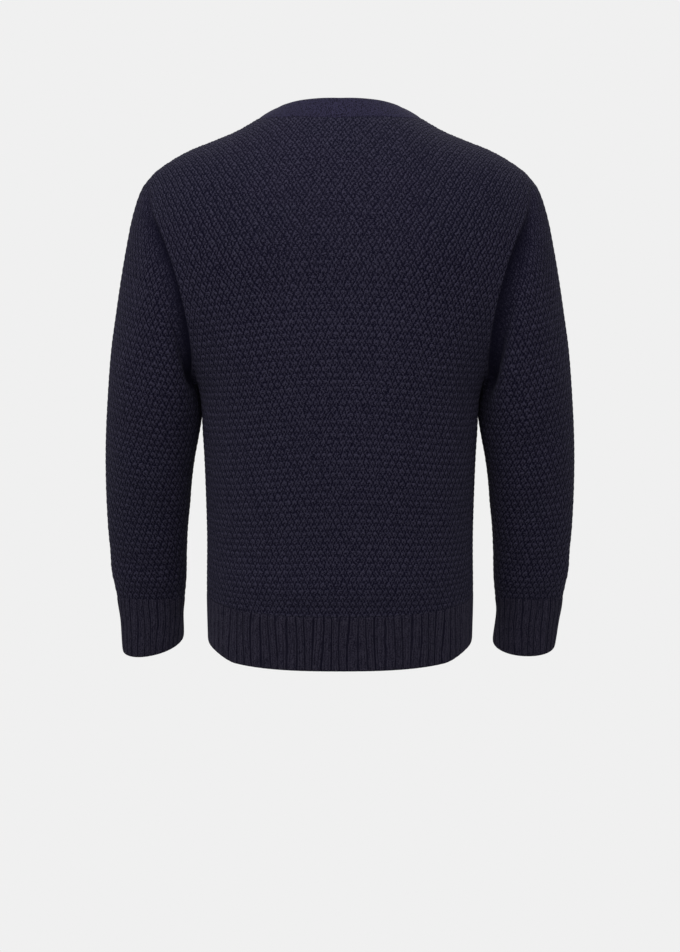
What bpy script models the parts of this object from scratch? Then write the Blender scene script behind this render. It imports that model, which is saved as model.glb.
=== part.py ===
"""A filled-out knitted cardigan, closed at the front, open at neck, hem and cuffs.

Metres, +Z up, the front faces -Y and the wearer's left is +X.  The origin is the middle of the
neck opening at the height of the shoulders.
"""
import math

import bmesh
import bpy
import numpy as np

for thing in list(bpy.data.objects):
    bpy.data.objects.remove(thing, do_unlink=True)

# --- driving sizes ---------------------------------------------------------------------------
WALL = 0.0030
RIB_WALL = 0.0030
BAND_WALL = 0.0026
SEAM_GAP = 0.0003
HEM_EDGE = -0.6835
HEM_SEAM = -0.610
UNDERARM = -0.330
FULL_CHEST = -0.180
DOME_ARC = 0.210
DOME_POWER = 2.2
NECK_HALF = 0.100
NECK_CUT = 60.0
SHOULDER_HALF = 0.236
V_POINT = -0.235
BAND_WIDTH = 0.025
BAND_TILT = 0.0034
EDGE_HALF = BAND_WIDTH / 2
BUTTON_RADIUS = 0.0095
BUTTON_TOP = -0.262
BUTTON_PITCH = 0.0965
BUTTON_COUNT = 5
ACROSS = 11
NECK_COLUMNS = 6
BAND_SPLITS = 3
RING_POWER = 2.1
SLEEVE_RINGS = (0.7, 1.5, 2.4, 3.3, 4.3, 5.3, 6.3, 7.3, 8.3, 9.3, 10.3, 11.2, 12.0)
CUFF_RINGS = (0.0, 0.7, 1.35, 2.0)

# height, half width, depth of the back, depth of the front, roundness
TORSO = (
    (-0.6835, 0.1762, 0.119, 0.113, 2.55),
    (-0.610, 0.1765, 0.121, 0.116, 2.45),
    (-0.560, 0.1750, 0.123, 0.119, 2.40),
    (-0.480, 0.1752, 0.124, 0.120, 2.40),
    (-0.400, 0.1775, 0.126, 0.122, 2.40),
    (-0.330, 0.1830, 0.128, 0.124, 2.45),
    (-0.260, 0.2120, 0.128, 0.124, 2.50),
    (-0.180, 0.2500, 0.123, 0.119, 2.60),
)
# distance from the middle, height of the shoulder line
SHOULDER = (
    (0.000, 0.0420),
    (0.050, 0.0310),
    (0.080, 0.0165),
    (0.100, 0.0050),
    (0.128, -0.0108),
    (0.159, -0.0238),
    (0.189, -0.0357),
    (0.212, -0.0482),
    (0.236, -0.0660),
    (0.250, -0.0820),
)
# height, distance of the armhole seam from the middle
ARMHOLE = (
    (-0.330, 0.1830),
    (-0.300, 0.1835),
    (-0.275, 0.1850),
    (-0.218, 0.1920),
    (-0.168, 0.2040),
    (-0.131, 0.2180),
    (-0.103, 0.2310),
    (-0.080, 0.2355),
    (-0.066, 0.2360),
)
# ring, outer x, outer z, inner x, inner z, middle y, half depth, drop of the back
SLEEVE = (
    (0, 0.2360, -0.066, 0.1830, -0.330, 0.000, 0.080, 0.000),
    (1, 0.2495, -0.084, 0.1834, -0.337, 0.000, 0.079, 0.000),
    (2, 0.2610, -0.116, 0.1838, -0.346, 0.000, 0.078, 0.000),
    (3, 0.2700, -0.155, 0.1842, -0.358, 0.000, 0.076, 0.000),
    (4, 0.2780, -0.195, 0.1846, -0.371, 0.000, 0.074, 0.000),
    (5, 0.2860, -0.240, 0.1856, -0.386, -0.001, 0.071, 0.000),
    (6, 0.2940, -0.288, 0.1876, -0.405, -0.003, 0.067, 0.000),
    (7, 0.3005, -0.345, 0.1910, -0.430, -0.006, 0.062, 0.000),
    (8, 0.3055, -0.400, 0.1950, -0.460, -0.011, 0.056, 0.000),
    (9, 0.3085, -0.455, 0.1990, -0.500, -0.017, 0.050, 0.000),
    (10, 0.3095, -0.510, 0.2035, -0.540, -0.024, 0.043, 0.000),
    (11, 0.3080, -0.565, 0.2065, -0.585, -0.032, 0.036, -0.002),
    (12, 0.3025, -0.637, 0.2110, -0.637, -0.042, 0.030, -0.006),
)
CUFF = (
    (0, 0.3025, -0.637, 0.2110, -0.637, -0.042, 0.0300, -0.006),
    (1, 0.3005, -0.664, 0.2125, -0.657, -0.045, 0.0330, -0.002),
    (2, 0.2985, -0.714, 0.2145, -0.697, -0.052, 0.0385, 0.007),
)


# --- reading the tables ----------------------------------------------------------------------
def smooth(table, column, at, level_ends=False):
    """One column of a table, read between its rows along a curve that passes through them."""
    rows = np.array(table)
    rows = rows[np.argsort(rows[:, 0])]
    x = rows[:, 0]
    y = rows[:, column]
    slope = np.gradient(y, x)
    if level_ends:
        slope[0] = 0.0
        slope[-1] = 0.0
    at = min(max(at, x[0]), x[-1])
    k = min(max(int(np.searchsorted(x, at)) - 1, 0), len(x) - 2)
    step = x[k + 1] - x[k]
    t = (at - x[k]) / step
    ends = y[k] * (1 + 2 * t) * (1 - t) ** 2 + y[k + 1] * t * t * (3 - 2 * t)
    bows = slope[k] * t * (1 - t) ** 2 + slope[k + 1] * t * t * (t - 1)
    return float(ends + step * bows)


# --- the filled-out torso --------------------------------------------------------------------
def row_depth(x, height, side):
    """Depth of one level section of the torso, side 1 for the back and -1 for the front."""
    half = smooth(TORSO, 1, height, True)
    depth = smooth(TORSO, 2 if side > 0 else 3, height, True)
    power = smooth(TORSO, 4, height, True)
    return depth * max(0.0, 1 - min(1.0, abs(x) / half) ** power) ** (1 / power)


def dome(level):
    """Rise and depth left at a level past the full chest, both 0 to 1."""
    turn = min(max((level - FULL_CHEST) / DOME_ARC, 0.0), 1.0) * math.pi / 2
    return math.sin(turn) ** (2 / DOME_POWER), max(0.0, math.cos(turn)) ** (2 / DOME_POWER)


def torso_point(x, level, side):
    """Outer skin. A level is a height up to the full chest, then it follows the shoulder round."""
    depth = row_depth(x, min(level, FULL_CHEST), side)
    if level <= FULL_CHEST:
        return np.array((x, side * depth, level))
    rise, left = dome(level)
    top = smooth(SHOULDER, 1, abs(x), True)
    return np.array((x, side * depth * left, FULL_CHEST + (top - FULL_CHEST) * rise))


def torso_field(p):
    """Zero on the skin and larger outside it."""
    side = 1 if p[1] >= 0 else -1
    if p[2] <= FULL_CHEST:
        half = smooth(TORSO, 1, p[2], True)
        depth = smooth(TORSO, 2 if side > 0 else 3, p[2], True)
        power = smooth(TORSO, 4, p[2], True)
        return (abs(p[0]) / half) ** power + (abs(p[1]) / depth) ** power
    depth = max(row_depth(p[0], FULL_CHEST, side), 1e-4)
    rise = (p[2] - FULL_CHEST) / (smooth(SHOULDER, 1, abs(p[0]), True) - FULL_CHEST)
    return (abs(p[1]) / depth) ** DOME_POWER + rise ** DOME_POWER


def torso_normal(p):
    step = 1e-5
    slope = np.zeros(3)
    for axis in range(3):
        move = np.zeros(3)
        move[axis] = step
        slope[axis] = torso_field(p + move) - torso_field(p - move)
    return slope / np.linalg.norm(slope)


def side_x(level):
    """Where a row of the body ends: at the side seam, then at the armhole seam."""
    if level <= UNDERARM:
        return smooth(TORSO, 1, level, True)
    if level <= FULL_CHEST:
        return smooth(ARMHOLE, 1, level)
    rise = dome(level)[0]
    x = SHOULDER_HALF
    for _ in range(30):
        x = smooth(ARMHOLE, 1, FULL_CHEST + (smooth(SHOULDER, 1, x, True) - FULL_CHEST) * rise)
    return x


def front_x(level):
    """Where a row of a front panel starts: straight up the closing, then along the V neck."""
    rise = dome(level)[0]
    x = NECK_HALF
    for _ in range(30):
        height = level
        if level > FULL_CHEST:
            height = FULL_CHEST + (smooth(SHOULDER, 1, x, True) - FULL_CHEST) * rise
        part = min(max((height - V_POINT) / (0.005 - V_POINT), 0.0), 1.0)
        x = EDGE_HALF + (NECK_HALF - EDGE_HALF) * part ** 1.25
    return x


def neck_level(x, level):
    """Levels of the back, squeezed under the back neck seam."""
    if level <= FULL_CHEST or abs(x) >= NECK_HALF:
        return level
    cut = 90 - (90 - NECK_CUT) * (1 - abs(x / NECK_HALF) ** 1.6) ** 0.5
    return FULL_CHEST + (level - FULL_CHEST) * cut / 90


TOP = FULL_CHEST + DOME_ARC
LOW_LEVELS = [HEM_SEAM, -0.575, -0.535, -0.490, -0.445, -0.405, -0.365, UNDERARM]
ARM_LEVELS = [-0.322, -0.305, -0.280, -0.250, -0.215, FULL_CHEST, -0.140, -0.105, -0.070, -0.030, TOP]
LEVELS = LOW_LEVELS + ARM_LEVELS
NECK_ANGLE = math.asin((NECK_HALF / SHOULDER_HALF) ** 1.2)


def spread(angle):
    """Share of a row's half width for an angle, closer together toward the side."""
    return math.sin(angle) ** (1 / 1.2)


def panel_rows(side):
    """Outer points of the left half of a panel, from its middle or front edge to the side."""
    rows = []
    for level in LEVELS:
        end = side_x(level)
        angles = []
        start = NECK_ANGLE
        if side > 0:
            angles = [NECK_ANGLE * j / NECK_COLUMNS for j in range(NECK_COLUMNS)]
        else:
            start = math.asin((front_x(level) / end) ** 1.2)
        angles += [start + (math.pi / 2 - start) * j / ACROSS for j in range(ACROSS + 1)]
        row = []
        for angle in angles:
            x = end * spread(angle)
            at = neck_level(x, level) if side > 0 else level
            row.append(torso_point(x, at, side))
        rows.append(row)
    return np.array(rows)


def torso_normals(points):
    flat = [torso_normal(p) for p in points.reshape(-1, 3)]
    return np.array(flat).reshape(points.shape)


def pull(edge, toward, gap=SEAM_GAP / 2):
    """An edge drawn back from its seam by half the seam gap."""
    way = toward - edge
    return edge + way / np.linalg.norm(way, axis=-1, keepdims=True) * gap


# --- sleeves and cuffs -----------------------------------------------------------------------
def ring_frame(table, at):
    outer = np.array((smooth(table, 1, at), 0.0, smooth(table, 2, at)))
    inner = np.array((smooth(table, 3, at), 0.0, smooth(table, 4, at)))
    depth = smooth(table, 6, at)
    drop = smooth(table, 7, at)
    middle = (outer + inner) / 2 + (0.0, smooth(table, 5, at), 0.0)
    back = np.array((0.0, math.sqrt(depth * depth - drop * drop), -drop))
    return middle, (outer - inner) / 2, back


def ring_point(table, at, turn):
    """Left sleeve or cuff; turn 0 is the outer side and a quarter turn is the back."""
    middle, reach, back = ring_frame(table, at)
    out = math.copysign(abs(math.cos(turn)) ** (2 / RING_POWER), math.cos(turn))
    swell = math.copysign(abs(math.sin(turn)) ** (2 / RING_POWER), math.sin(turn))
    return middle + reach * out + back * swell


def ring_turn(p):
    """The turn at which an armhole point joins the sleeve."""
    middle, reach, back = ring_frame(SLEEVE, 0)
    out = np.dot(p - middle, reach) / np.dot(reach, reach)
    swell = (p[1] - middle[1]) / back[1]
    out = math.copysign(abs(out) ** (RING_POWER / 2), out)
    swell = math.copysign(abs(swell) ** (RING_POWER / 2), swell)
    return math.atan2(swell, out) % (2 * math.pi)


def grid_normals(points):
    """Normals of a tube of rings, pointing away from its middle."""
    along = np.gradient(points, axis=0)
    around = np.roll(points, -1, axis=1) - np.roll(points, 1, axis=1)
    normals = np.cross(along, around)
    normals /= np.linalg.norm(normals, axis=-1, keepdims=True)
    away = points - points.mean(axis=1, keepdims=True)
    if (normals * away).sum() < 0:
        normals = -normals
    return normals


# --- building --------------------------------------------------------------------------------
def material(name, colour, roughness):
    made = bpy.data.materials.new(name)
    made.use_nodes = True
    shader = made.node_tree.nodes["Principled BSDF"]
    shader.inputs["Base Color"].default_value = (*colour, 1.0)
    shader.inputs["Roughness"].default_value = roughness
    return made


def keep(name, vertices, faces, look):
    mesh = bpy.data.meshes.new(name)
    mesh.from_pydata([tuple(v) for v in vertices], [], faces)
    work = bmesh.new()
    work.from_mesh(mesh)
    bmesh.ops.recalc_face_normals(work, faces=work.faces)
    for face in work.faces:
        face.smooth = True
    work.to_mesh(mesh)
    work.free()
    mesh.materials.append(look)
    thing = bpy.data.objects.new(name, mesh)
    bpy.context.scene.collection.objects.link(thing)
    return thing


def shell(name, outer, inner, wrap, look):
    """A closed wall between an outer and an inner grid; wrap joins the last column to the first."""
    rows, columns = outer.shape[:2]
    vertices = list(outer.reshape(-1, 3)) + list(inner.reshape(-1, 3))
    deep = rows * columns
    faces = []
    spans = columns if wrap else columns - 1
    for r in range(rows - 1):
        for c in range(spans):
            n = (c + 1) % columns
            quad = (r * columns + c, r * columns + n, (r + 1) * columns + n, (r + 1) * columns + c)
            faces.append(quad)
            faces.append(tuple(deep + q for q in reversed(quad)))
    for r in (0, rows - 1):
        for c in range(spans):
            a = r * columns + c
            b = r * columns + (c + 1) % columns
            faces.append((a, b, deep + b, deep + a))
    if not wrap:
        for c in (0, columns - 1):
            for r in range(rows - 1):
                a = r * columns + c
                b = (r + 1) * columns + c
                faces.append((a, b, deep + b, deep + a))
    return keep(name, vertices, faces, look)


def mirrored(points):
    return points * (-1, 1, 1)


knit = material("navy_knit", (0.020, 0.021, 0.040), 0.90)
rib = material("navy_rib", (0.020, 0.021, 0.040), 0.90)
fine = material("navy_fine_knit", (0.024, 0.026, 0.050), 0.90)
horn = material("navy_button", (0.012, 0.013, 0.024), 0.35)

back_outer = panel_rows(1)
front_outer = panel_rows(-1)
back_normal = torso_normals(back_outer)
front_normal = torso_normals(front_outer)

# The sleeve starts on the armhole: from the shoulder tip down the back, then up the front.
FIRST = len(LOW_LEVELS) - 1
down = back_outer[FIRST:, -1][::-1]
up = front_outer[FIRST + 1:-1, -1]
armhole = np.vstack((down, up))
armhole_normal = np.vstack((back_normal[FIRST:, -1][::-1], front_normal[FIRST + 1:-1, -1]))
turns = np.unwrap([ring_turn(p) for p in armhole])
even = np.arange(len(armhole)) * 2 * math.pi / len(armhole)
rings = [armhole]
for at in SLEEVE_RINGS:
    mix = min(at / 6.0, 1.0)
    rings.append(np.array([ring_point(SLEEVE, at, t) for t in turns * (1 - mix) + even * mix]))
sleeve_outer = np.array(rings)
sleeve_normal = grid_normals(sleeve_outer)
meet = (sleeve_normal[0] * armhole_normal).sum(axis=1)
blend = np.clip(meet / 0.7, 0.0, 1.0)[:, None]
sleeve_edge = sleeve_normal[0] + armhole_normal * blend
body_edge = armhole_normal + sleeve_normal[0] * blend
sleeve_normal[0] = sleeve_edge / np.linalg.norm(sleeve_edge, axis=1, keepdims=True)
body_edge /= np.linalg.norm(body_edge, axis=1, keepdims=True)
count = len(ARM_LEVELS) + 1
back_normal[FIRST:, -1] = body_edge[:count][::-1]
front_normal[FIRST + 1:-1, -1] = body_edge[count:]
front_normal[-1, -1] = body_edge[0]
front_normal[FIRST, -1] = back_normal[FIRST, -1]

back_inner = back_outer - back_normal * WALL
front_inner = front_outer - front_normal * WALL
sleeve_inner = sleeve_outer - sleeve_normal * WALL


def seam_edges(grid, front):
    """Draw a panel back from its seams: bottom, top, side, and the front edge if it has one."""
    cut = grid.copy()
    cut[0] = pull(grid[0], grid[1])
    cut[-1] = pull(grid[-1], grid[-2])
    plain = cut.copy()
    cut[:, -1] = pull(plain[:, -1], plain[:, -2])
    if front:
        cut[:, 0] = pull(plain[:, 0], plain[:, 1])
    return cut


def whole(half):
    """A left half and its mirror as one grid from right to left."""
    return np.concatenate((mirrored(half[:, :0:-1]), half), axis=1)


back_outer_cut = seam_edges(back_outer, False)
back_inner_cut = seam_edges(back_inner, False)
shell("back", whole(back_outer_cut), whole(back_inner_cut), False, knit)
front_outer_cut = seam_edges(front_outer, True)
front_inner_cut = seam_edges(front_inner, True)
shell("front_left", front_outer_cut, front_inner_cut, False, knit)
shell("front_right", mirrored(front_outer_cut), mirrored(front_inner_cut), False, knit)

for grid in (sleeve_outer, sleeve_inner):
    grid[0] = pull(grid[0], grid[1])
    grid[-1] = pull(grid[-1], grid[-2])
shell("sleeve_left", sleeve_outer, sleeve_inner, True, knit)
shell("sleeve_right", mirrored(sleeve_outer), mirrored(sleeve_inner), True, knit)

cuff_outer = np.array([[ring_point(CUFF, at, t) for t in even] for at in CUFF_RINGS])
cuff_inner = cuff_outer - grid_normals(cuff_outer) * RIB_WALL
for grid in (cuff_outer, cuff_inner):
    grid[0] = pull(grid[0], grid[1])
shell("cuff_left", cuff_outer, cuff_inner, True, rib)
shell("cuff_right", mirrored(cuff_outer), mirrored(cuff_inner), True, rib)


# --- hem rib: one strip from front edge to front edge ----------------------------------------
def hem_row(height):
    end = side_x(height)
    row = []
    start = math.asin((EDGE_HALF / end) ** 1.2)
    for j in range(ACROSS + 1):
        angle = start + (math.pi / 2 - start) * j / ACROSS
        row.append(torso_point(end * spread(angle), height, -1))
    angles = [NECK_ANGLE + (math.pi / 2 - NECK_ANGLE) * j / ACROSS for j in range(ACROSS)][::-1]
    angles += [NECK_ANGLE * j / NECK_COLUMNS for j in range(NECK_COLUMNS)][::-1]
    row += [torso_point(end * spread(angle), height, 1) for angle in angles]
    return np.array(row + [mirrored(p) for p in row[-2::-1]])


hem_outer = np.array([hem_row(height) for height in (HEM_SEAM, -0.634, -0.658, HEM_EDGE)])
hem_inner = hem_outer - torso_normals(hem_outer) * RIB_WALL
for grid in (hem_outer, hem_inner):
    grid[0] = pull(grid[0], grid[1])
    grid[:, 0] = pull(grid[:, 0], grid[:, 1])
    grid[:, -1] = pull(grid[:, -1], grid[:, -2])
shell("hem_rib", hem_outer, hem_inner, False, rib)

# --- front band: up the left front, round the neck, down the right front ---------------------
left_seam = [torso_point(EDGE_HALF, height, -1) for height in (HEM_EDGE, -0.658, -0.634)]
left_seam += list(front_outer[:, 0])
left_seam += list(back_outer[-1, 1:NECK_COLUMNS][::-1])
middle_seam = [back_outer[-1, 0]]
right_seam = [mirrored(p) for p in left_seam[::-1]]
seam = np.array(left_seam + middle_seam + right_seam)
seam_way = np.gradient(seam, axis=0)
seam_way /= np.linalg.norm(seam_way, axis=1, keepdims=True)
seam_normal = torso_normals(seam)
seam_normal -= seam_way * (seam_normal * seam_way).sum(axis=1, keepdims=True)
seam_normal /= np.linalg.norm(seam_normal, axis=1, keepdims=True)
inward = np.cross(seam_normal, seam_way)
edge_reach = np.abs(seam[:, 0])
lapped = np.clip((0.050 - edge_reach) / 0.020, 0.0, 1.0) * (seam[:, 1] < 0)
lift = BAND_TILT * lapped * np.sign(seam[:, 0])
band_outer = []
band_inner = []
for split in range(BAND_SPLITS + 1):
    share = split / BAND_SPLITS
    reach = SEAM_GAP / 2 + (BAND_WIDTH - SEAM_GAP) * share
    line = seam + inward * reach + seam_normal * (lift * share)[:, None]
    band_outer.append(line)
    band_inner.append(line - seam_normal * BAND_WALL)
band_outer = np.array(band_outer).transpose(1, 0, 2)
band_inner = np.array(band_inner).transpose(1, 0, 2)
shell("front_band", band_outer, band_inner, False, fine)


# --- buttons on the left lap of the band -----------------------------------------------------
def button(name, height):
    low = torso_point(EDGE_HALF, height - 0.01, -1)
    high = torso_point(EDGE_HALF, height + 0.01, -1)
    way = (high - low) / np.linalg.norm(high - low)
    root = (low + high) / 2
    normal = torso_normal(root)
    normal -= way * np.dot(normal, way)
    normal /= np.linalg.norm(normal)
    side = np.cross(normal, way)
    slope = side + normal * BAND_TILT / BAND_WIDTH
    slope /= np.linalg.norm(slope)
    axis = np.cross(way, slope)
    seat = root + side * BAND_WIDTH / 2 + normal * BAND_TILT / 2 + axis * SEAM_GAP
    rings = ((0.0086, 0.0), (BUTTON_RADIUS, 0.0009), (BUTTON_RADIUS, 0.0022), (0.0088, 0.0030),
             (0.0073, 0.0030), (0.0066, 0.0021))
    work = bmesh.new()

    def loop(x, y, radius, height, count):
        made = []
        for k in range(count):
            turn = 2 * math.pi * k / count
            made.append(work.verts.new((x + radius * math.cos(turn), y + radius * math.sin(turn), height)))
        return made

    def wall(first, second):
        for k in range(len(first)):
            n = (k + 1) % len(first)
            work.faces.new((first[k], first[n], second[n], second[k]))

    loops = [loop(0, 0, radius, rise, 32) for radius, rise in rings]
    for first, second in zip(loops, loops[1:]):
        wall(first, second)
    floors = {0.0: [loops[0]], 0.0021: [loops[-1]]}
    for x, y in ((1, 1), (1, -1), (-1, -1), (-1, 1)):
        low_loop = loop(x * 0.0021, y * 0.0021, 0.0010, 0.0, 12)
        high_loop = loop(x * 0.0021, y * 0.0021, 0.0010, 0.0021, 12)
        wall(low_loop, high_loop)
        floors[0.0].append(low_loop)
        floors[0.0021].append(high_loop)
    for floor in floors.values():
        edges = []
        for ring in floor:
            for k in range(len(ring)):
                pair = (ring[k], ring[(k + 1) % len(ring)])
                edges.append(work.edges.get(pair) or work.edges.new(pair))
        bmesh.ops.triangle_fill(work, use_beauty=True, edges=edges)
    work.verts.index_update()
    vertices = [seat + slope * v.co.x + way * v.co.y + axis * v.co.z for v in work.verts]
    faces = [tuple(v.index for v in face.verts) for face in work.faces]
    work.free()
    keep(name, vertices, faces, horn)


for number in range(BUTTON_COUNT):
    button(f"button_{number + 1}", BUTTON_TOP - BUTTON_PITCH * number)
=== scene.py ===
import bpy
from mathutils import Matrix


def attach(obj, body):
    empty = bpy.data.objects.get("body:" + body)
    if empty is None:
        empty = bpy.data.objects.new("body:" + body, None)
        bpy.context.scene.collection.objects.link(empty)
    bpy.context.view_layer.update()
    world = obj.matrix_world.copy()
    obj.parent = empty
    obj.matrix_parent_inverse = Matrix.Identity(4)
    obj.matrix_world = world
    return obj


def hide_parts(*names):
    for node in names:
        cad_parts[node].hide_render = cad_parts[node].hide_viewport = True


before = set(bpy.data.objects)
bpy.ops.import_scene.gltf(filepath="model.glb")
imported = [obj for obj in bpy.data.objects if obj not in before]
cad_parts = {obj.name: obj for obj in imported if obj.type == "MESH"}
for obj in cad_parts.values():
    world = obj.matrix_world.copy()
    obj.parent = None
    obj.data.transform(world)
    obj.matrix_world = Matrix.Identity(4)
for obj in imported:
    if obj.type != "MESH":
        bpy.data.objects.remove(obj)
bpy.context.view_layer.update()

import math

import bmesh
import bpy
import numpy as np
from mathutils import Matrix, Vector

# --- the set ---------------------------------------------------------------------------------
# A pale studio: one plain pale floor that runs into an even pale surround, and two large soft
# lamps.  The camera stands behind the garment, a little above the shoulders, looking down.
camera_data = bpy.data.cameras.new("camera")
camera_data.lens = 68.7
camera_data.sensor_width = 36.0
camera_data.clip_end = 1000.0
camera = bpy.data.objects.new("camera", camera_data)
camera.location = (0.0, 2.30, 0.16)
camera_tilt = math.radians(15.0)
look = Vector((0.0, -math.cos(camera_tilt), -math.sin(camera_tilt)))
camera.rotation_mode = "QUATERNION"
camera.rotation_quaternion = look.to_track_quat("-Z", "Y")
bpy.context.scene.collection.objects.link(camera)
bpy.context.scene.camera = camera
bpy.context.scene.view_settings.view_transform = "Standard"

pale = (0.871, 0.871, 0.871, 1.0)
surround = bpy.data.worlds.new("surround")
bpy.context.scene.world = surround
surround.use_nodes = True
surround.node_tree.nodes["Background"].inputs["Color"].default_value = pale

floor_mesh = bpy.data.meshes.new("floor")
floor_reach = 60.0
floor_level = -1.6
signs = ((-1, -1), (1, -1), (1, 1), (-1, 1))
floor_corners = [(x * floor_reach, y * floor_reach, floor_level) for x, y in signs]
floor_mesh.from_pydata(floor_corners, [], [(0, 1, 2, 3)])
floor = bpy.data.objects.new("floor", floor_mesh)
bpy.context.scene.collection.objects.link(floor)
floor_paint = bpy.data.materials.new("pale_floor")
floor_paint.use_nodes = True
floor_shader = floor_paint.node_tree.nodes["Principled BSDF"]
floor_shader.inputs["Base Color"].default_value = (0.0, 0.0, 0.0, 1.0)
floor_shader.inputs["Specular IOR Level"].default_value = 0.0
floor_shader.inputs["Emission Color"].default_value = pale
floor_shader.inputs["Emission Strength"].default_value = 1.0
floor_mesh.materials.append(floor_paint)


garment_middle = Vector((0.0, 0.0, -0.25))


def lamp(name, place, width, height, power):
    """A soft rectangular lamp that faces the middle of the garment."""
    data = bpy.data.lights.new(name, "AREA")
    data.shape = "RECTANGLE"
    data.size = width
    data.size_y = height
    data.energy = power
    thing = bpy.data.objects.new(name, data)
    thing.location = place
    thing.rotation_mode = "QUATERNION"
    thing.rotation_quaternion = (garment_middle - Vector(place)).to_track_quat("-Z", "Y")
    bpy.context.scene.collection.objects.link(thing)


lamp("upper_lamp", (0.46, 1.35, 1.6), 2.2, 0.9, 68.0)
lamp("far_lamp", (-0.8, -2.2, 2.0), 1.4, 1.0, 34.0)

# --- back and front panels -------------------------------------------------------------------
# The body is three panels of thick navy yarn in an offset tuck stitch, linked at the sides and
# shoulders and knitted from the hem up.  Each is a wall 3 mm thick on the filled-out form.
hem_seam = -0.610
hem_edge = -0.6835
underarm = -0.330
full_chest = -0.180
dome_arc = 0.210
dome_power = 2.2
top_level = full_chest + dome_arc
neck_half = 0.100
neck_power = 1.6
# how far the climb from full chest to shoulder line has come where the back neck is cut
neck_cut = 57.4 / 90
shoulder_half = 0.236
v_point = -0.235
v_top = 0.005
v_power = 1.25
band_width = 0.025
edge_half = band_width / 2
wall = 0.0030
# stitches are wider in the yoke than at the hem, and narrower towards the sides
hem_pitch = 0.00815
back_yoke_pitch = 0.0104
front_yoke_pitch = 0.0095
yoke = (-0.42, 0.03)
side_crowding = 0.8
row_height = 0.00845
# rows are lower by this share at the shoulders, from this far above the full chest
yoke_flattening = 0.17
flattening_reach = 0.12
# how strongly points are gathered towards the side seam, where the body turns most
spread = 1.2
# rounds in which a row's end settles on its seam
settling = 30
# height, half width, depth of the back, depth of the front, squareness
torso_table = (
    (-0.6835, 0.1762, 0.119, 0.113, 2.55),
    (-0.610, 0.1765, 0.121, 0.116, 2.45),
    (-0.560, 0.1750, 0.123, 0.119, 2.40),
    (-0.480, 0.1752, 0.124, 0.120, 2.40),
    (-0.400, 0.1775, 0.126, 0.122, 2.40),
    (-0.330, 0.1830, 0.128, 0.124, 2.45),
    (-0.260, 0.2120, 0.128, 0.124, 2.50),
    (-0.180, 0.2500, 0.123, 0.119, 2.60),
)
# distance from the middle, height of the shoulder line
shoulder_table = (
    (0.000, 0.0420),
    (0.050, 0.0310),
    (0.080, 0.0165),
    (0.100, 0.0050),
    (0.128, -0.0108),
    (0.159, -0.0238),
    (0.189, -0.0357),
    (0.212, -0.0482),
    (0.236, -0.0660),
    (0.250, -0.0820),
)
# height, distance of the armhole seam from the middle
armhole_table = (
    (-0.330, 0.1830),
    (-0.300, 0.1835),
    (-0.275, 0.1850),
    (-0.218, 0.1920),
    (-0.168, 0.2040),
    (-0.131, 0.2180),
    (-0.103, 0.2310),
    (-0.080, 0.2355),
    (-0.066, 0.2360),
)
# height, how far rows hang below level at 1 m from the middle, growing with the square
hang_table = (
    (-0.610, 0.30),
    (-0.530, 0.65),
    (-0.410, 0.90),
    (-0.300, 0.74),
    (-0.190, 0.50),
    (-0.130, 0.28),
    (-0.060, 0.06),
    (0.040, 0.00),
)
# soft forms fade out within these reaches of the hem seam and of the armhole seam
hem_calm = 0.02
seam_calm = 0.03
# soft forms: x, height, reach across, reach up, how far it stands out
back_forms = (
    (0.112, -0.135, 0.055, 0.060, 0.0035),
    (-0.112, -0.145, 0.055, 0.060, 0.0035),
    (0.020, -0.300, 0.060, 0.090, -0.0020),
    (-0.050, -0.430, 0.080, 0.050, 0.0020),
    (0.080, -0.455, 0.060, 0.040, 0.0016),
    (0.090, -0.572, 0.110, 0.024, 0.0030),
    (-0.070, -0.568, 0.100, 0.026, 0.0034),
    (0.175, -0.300, 0.030, 0.055, -0.0030),
    (-0.175, -0.310, 0.030, 0.055, -0.0035),
)
front_forms = (
    (0.105, -0.180, 0.050, 0.070, 0.0030),
    (-0.105, -0.190, 0.050, 0.070, 0.0030),
    (0.090, -0.570, 0.080, 0.026, 0.0030),
    (-0.095, -0.572, 0.080, 0.026, 0.0030),
    (0.070, -0.400, 0.050, 0.060, -0.0018),
    (-0.080, -0.380, 0.050, 0.060, -0.0018),
    (0.165, -0.290, 0.030, 0.055, -0.0030),
    (-0.165, -0.300, 0.030, 0.055, -0.0030),
)


def smooth(table, column, at, level_ends=False):
    """One column of a table, read between its rows along a curve through them."""
    rows = np.array(table)
    x = rows[:, 0]
    y = rows[:, column]
    slope = np.gradient(y, x)
    if level_ends:
        slope[0] = 0.0
        slope[-1] = 0.0
    at = np.clip(np.asarray(at, float), x[0], x[-1])
    k = np.clip(np.searchsorted(x, at) - 1, 0, len(x) - 2)
    step = x[k + 1] - x[k]
    t = (at - x[k]) / step
    ends = y[k] * (1 + 2 * t) * (1 - t) ** 2 + y[k + 1] * t * t * (3 - 2 * t)
    bows = slope[k] * t * (1 - t) ** 2 + slope[k + 1] * t * t * (t - 1)
    return ends + step * bows


def ease(low, high, at):
    """0 before low, 1 after high and a soft rise between; low may be the larger of the two."""
    t = np.clip((np.asarray(at, float) - low) / (high - low), 0.0, 1.0)
    return t * t * (3 - 2 * t)


def unit(vectors):
    """The same directions, each of length 1."""
    return vectors / np.maximum(np.linalg.norm(vectors, axis=-1, keepdims=True), 1e-12)


def dome(level):
    """Rise and depth left at a level past the full chest, both 0 to 1."""
    turn = np.clip((level - full_chest) / dome_arc, 0.0, 1.0) * math.pi / 2
    return np.sin(turn) ** (2 / dome_power), np.maximum(np.cos(turn), 0.0) ** (2 / dome_power)


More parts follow.
